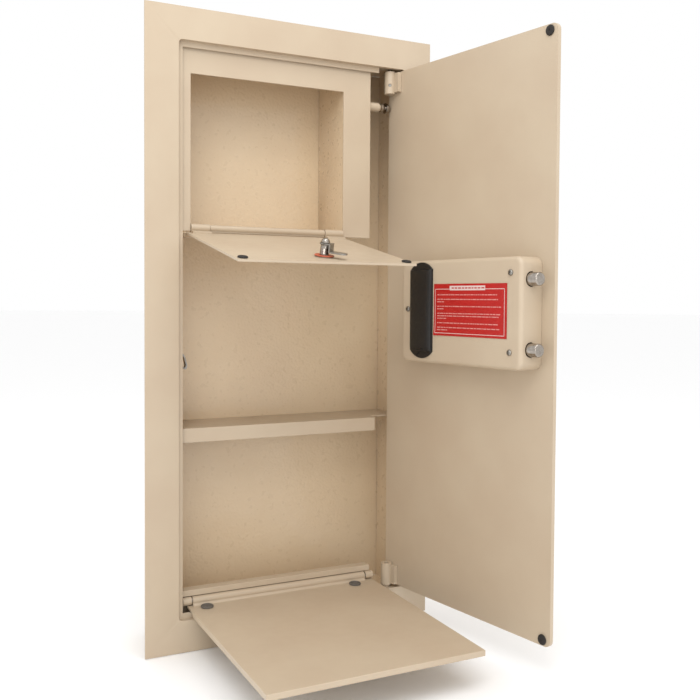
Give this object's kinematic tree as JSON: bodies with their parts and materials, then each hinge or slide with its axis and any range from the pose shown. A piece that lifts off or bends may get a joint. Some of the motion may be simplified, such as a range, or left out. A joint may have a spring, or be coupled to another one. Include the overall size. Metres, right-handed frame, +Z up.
{
  "type": "wall safe",
  "caption": "Tall flush-mount wall safe, standing open: hinged door with a lock box and round bolts, a drop-down locking compartment, a shelf and a fold-down lower flap.",
  "frame": {"origin": "centre of the wall cut-out, on the wall surface where the back of the flange lies", "axes": "+X to the right seen from the room, +Y into the wall, +Z up"},
  "size_m": [0.4244, 0.3788, 0.8],
  "materials": {
    "cream_enamel": "satin",
    "hammered_enamel": "glossy, hammered texture",
    "chrome": "polished",
    "zinc": "zinc plated",
    "brass": "machined",
    "black_rubber": "matte",
    "grey_rubber": "matte",
    "black_plastic": "semi-gloss",
    "sensor_glass": "polished",
    "red_label": "printed film",
    "red_nylon": "moulded",
    "circuit_green": "solder mask",
    "battery_wrap": "printed film"
  },
  "bodies": {
    "safe_body": {"front_frame": "cream_enamel", "body_shell": "hammered_enamel", "back_panel": "hammered_enamel", "compartment_face": "cream_enamel", "compartment_box": "hammered_enamel", "shelf": "cream_enamel", "sill_bracket": "cream_enamel", "upper_hinge_tube": "cream_enamel", "upper_hinge_pin": "zinc", "lower_knuckle_left": "cream_enamel", "lower_knuckle_right": "cream_enamel", "lower_hinge_pin": "zinc", "hinge_washer_left": "chrome", "hinge_washer_right": "chrome", "pivot_plate_top": "cream_enamel", "pivot_plate_bottom": "cream_enamel", "stop_post": "cream_enamel", "stop_screw": "chrome", "wall_clip": "zinc"},
    "main_door": {"door_panel": "cream_enamel", "door_barrel_top": "cream_enamel", "door_barrel_bottom": "cream_enamel", "pivot_pin_top": "chrome", "pivot_pin_bottom": "chrome", "grub_screw": "zinc", "bumper_top": "black_rubber", "bumper_bottom": "black_rubber", "lock_cover": "cream_enamel", "cover_screw_1": "zinc", "cover_screw_2": "zinc", "cover_screw_3": "zinc", "bolt_guide": "zinc", "lock_solenoid": "zinc", "circuit_board": "circuit_green", "battery_holder": "black_plastic", "battery_column_1": "battery_wrap", "battery_column_2": "battery_wrap", "label": "red_label", "key_cylinder": "zinc", "reader_housing": "black_plastic", "reader_window": "sensor_glass"},
    "bolt_carriage": {"bolt_bar": "zinc", "bolt_upper": "chrome", "bolt_lower": "chrome"},
    "knob": {"knob": "black_plastic", "knob_spindle": "zinc"},
    "battery_cover": {"battery_cover": "black_plastic"},
    "finger_cover": {"reader_cover": "black_plastic"},
    "key_plug": {"key_plug": "brass"},
    "upper_flap": {"upper_flap_panel": "cream_enamel", "upper_flap_pad_left": "black_rubber", "upper_flap_pad_right": "black_rubber", "cam_barrel": "chrome", "cam_ring": "red_nylon"},
    "cam": {"cam_arm": "zinc", "cam_nut": "chrome"},
    "lower_flap": {"lower_flap_panel": "cream_enamel", "lower_hinge_tube": "cream_enamel", "lower_flap_disc_1": "grey_rubber", "lower_flap_disc_2": "grey_rubber"}
  },
  "joints": [
    {"name": "door_hinge", "type": "hinge", "parent": "safe_body", "child": "main_door", "pos_m": [0.1435, 0.011, 0], "axis": [0, 0, 1], "range_deg": [-13, 0]},
    {"name": "bolt_throw", "type": "slide", "parent": "main_door", "child": "bolt_carriage", "axis": [-0.153, 0.9882, 0], "range_m": [-0.013, 0]},
    {"name": "knob_turn", "type": "hinge", "parent": "main_door", "child": "knob", "pos_m": [0.17486, -0.19159, 0.027], "axis": [0.9882, 0.153, 0], "range_deg": [0, 90]},
    {"name": "battery_cover_slide", "type": "slide", "parent": "main_door", "child": "battery_cover", "axis": [-0.9882, -0.153, 0], "range_m": [0, 0.025]},
    {"name": "finger_cover_hinge", "type": "hinge", "parent": "main_door", "child": "finger_cover", "pos_m": [0.19818, -0.18798, 0.106], "axis": [0.153, -0.9882, 0], "range_deg": [0, 90]},
    {"name": "key_turn", "type": "hinge", "parent": "main_door", "child": "key_plug", "pos_m": [0.17486, -0.19159, -0.018], "axis": [0.9882, 0.153, 0], "range_deg": [0, 90]},
    {"name": "upper_flap_hinge", "type": "hinge", "parent": "safe_body", "child": "upper_flap", "pos_m": [0, 0.0125, 0.1315], "axis": [1, 0, 0], "range_deg": [-101.9, 0]},
    {"name": "cam_turn", "type": "hinge", "parent": "upper_flap", "child": "cam", "pos_m": [-0.03, -0.15189, 0.09686], "axis": [0, -0.2062, 0.9785], "range_deg": [-42, 48]},
    {"name": "lower_flap_hinge", "type": "hinge", "parent": "safe_body", "child": "lower_flap", "pos_m": [0, 0.018, -0.3427], "axis": [1, 0, 0], "range_deg": [-90.96, 0]}
  ],
  "couplings": [
    {"joint": "knob_turn", "follows": "bolt_throw", "rad_per_m": -120.83}
  ]
}
